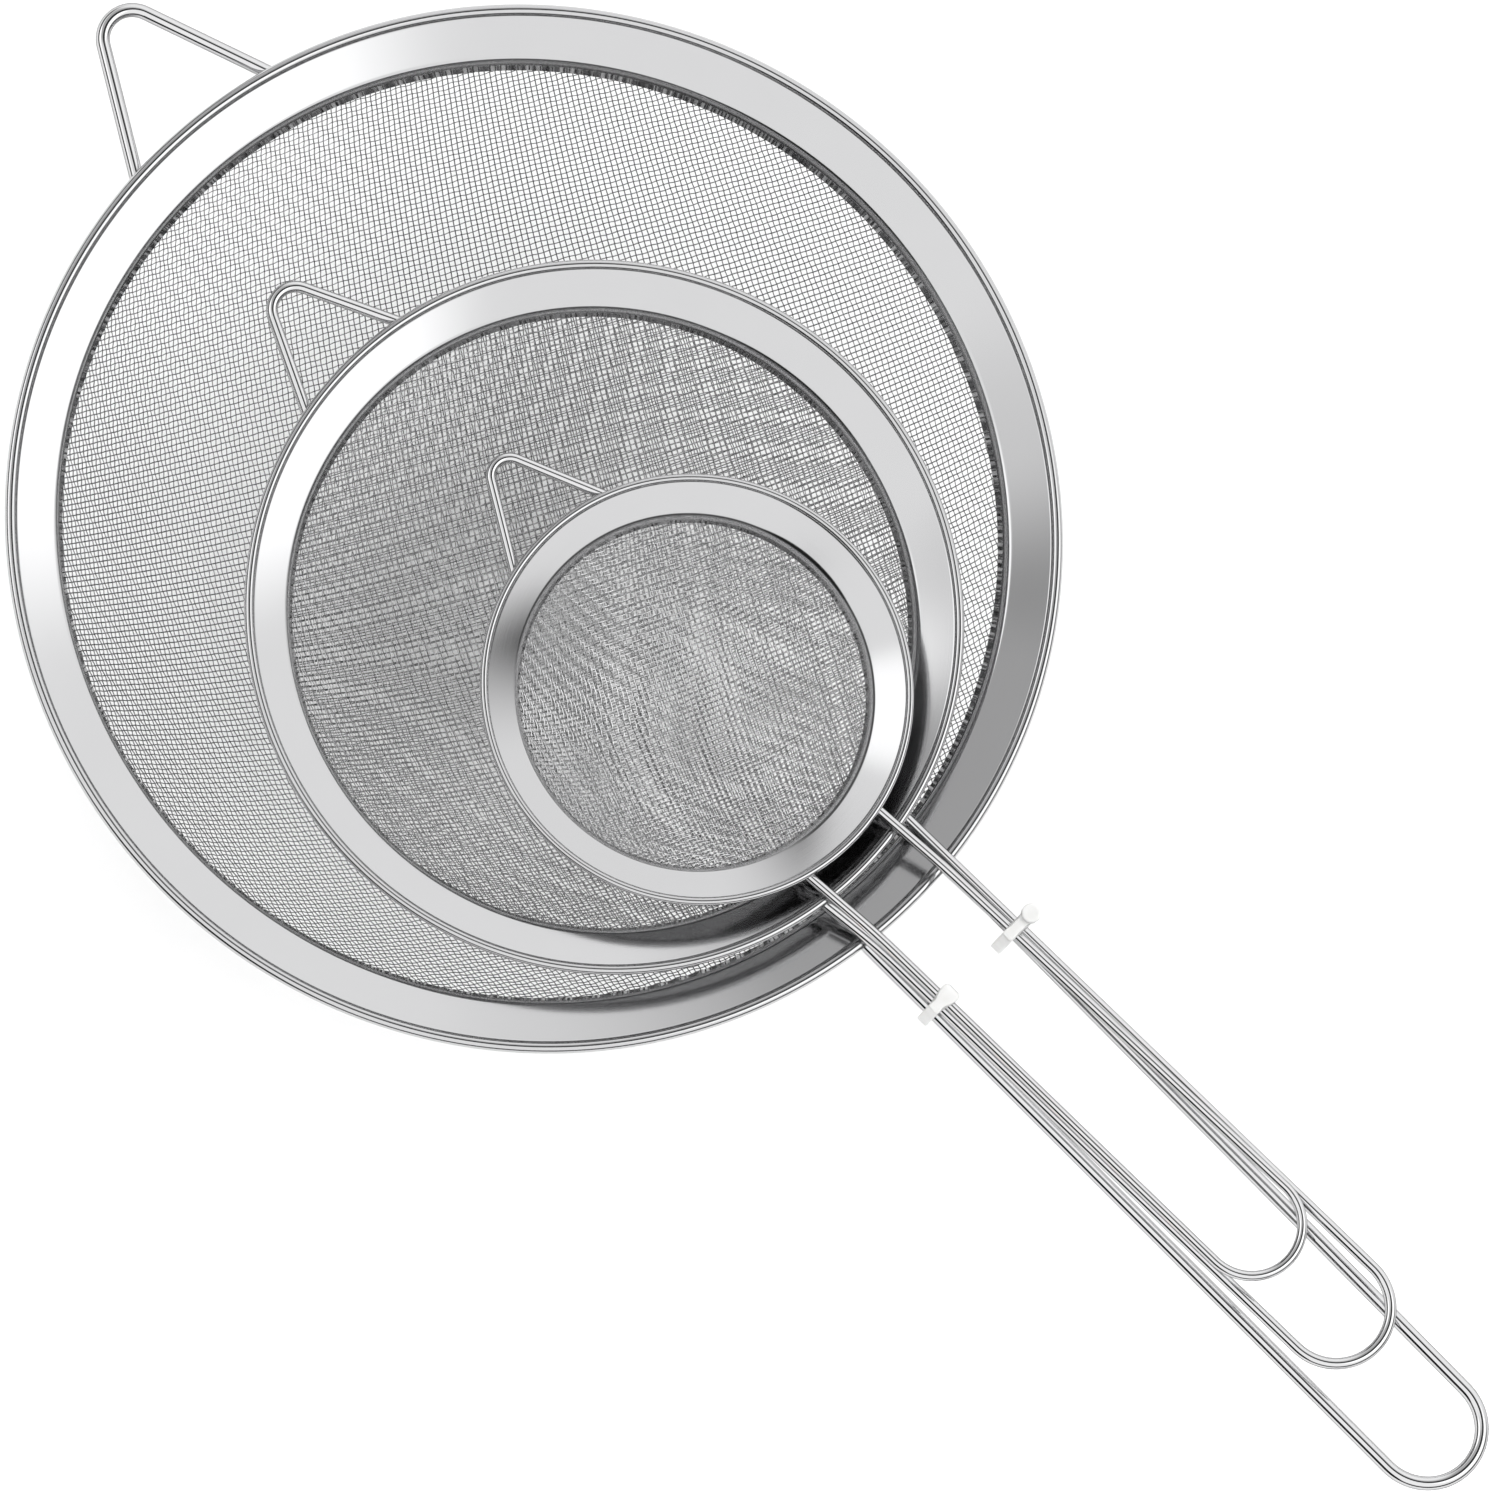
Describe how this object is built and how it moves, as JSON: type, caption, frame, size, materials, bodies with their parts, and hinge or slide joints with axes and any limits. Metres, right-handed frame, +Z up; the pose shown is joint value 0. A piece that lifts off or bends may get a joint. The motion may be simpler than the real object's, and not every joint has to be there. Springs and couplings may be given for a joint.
{
  "type": "nested set of kitchen strainers",
  "caption": "Nested fine-mesh round strainers with wide steel rims, wire loop handles and rest hooks, their handles held together by small plastic clips.",
  "frame": {"origin": "centre of the large strainer's rim, level with the top of its lip", "axes": "+X out along the handles to their tips, +Z up with the bowls hanging below, +Y to the left when looking along +X from above"},
  "size_m": [0.3739, 0.2, 0.0767],
  "materials": {
    "polished_band": "polished stainless sheet",
    "plain_steel": "plain stainless steel",
    "woven_mesh": "woven stainless wire cloth",
    "polished_wire": "bright polished stainless wire",
    "clip_plastic": "translucent natural nylon"
  },
  "bodies": {
    "large_strainer": {"large_rim_band": "polished_band", "large_rim_core_wire": "plain_steel", "large_mesh_clamp_ring": "plain_steel", "large_mesh_bowl": "woven_mesh", "large_handle_wire": "polished_wire", "large_rest_hook": "polished_wire"},
    "medium_strainer": {"medium_rim_band": "polished_band", "medium_rim_core_wire": "plain_steel", "medium_mesh_clamp_ring": "plain_steel", "medium_mesh_bowl": "woven_mesh", "medium_handle_wire": "polished_wire", "medium_rest_hook": "polished_wire"},
    "small_strainer": {"small_rim_band": "polished_band", "small_rim_core_wire": "plain_steel", "small_mesh_clamp_ring": "plain_steel", "small_mesh_bowl": "woven_mesh", "small_handle_wire": "polished_wire", "small_rest_hook": "polished_wire"},
    "right_clip": {"right_handle_clip": "clip_plastic"},
    "left_clip": {"left_handle_clip": "clip_plastic"}
  },
  "joints": [
    {"name": "medium_lift", "type": "slide", "parent": "large_strainer", "child": "medium_strainer", "axis": [0, 0, 1], "range_m": [0, 0.07]},
    {"name": "small_lift", "type": "slide", "parent": "medium_strainer", "child": "small_strainer", "axis": [0, 0, 1], "range_m": [0, 0.05]},
    {"name": "right_clip_lift", "type": "slide", "parent": "small_strainer", "child": "right_clip", "axis": [0, 0, 1], "range_m": [0, 0.016]},
    {"name": "left_clip_lift", "type": "slide", "parent": "small_strainer", "child": "left_clip", "axis": [0, 0, 1], "range_m": [0, 0.016]}
  ]
}
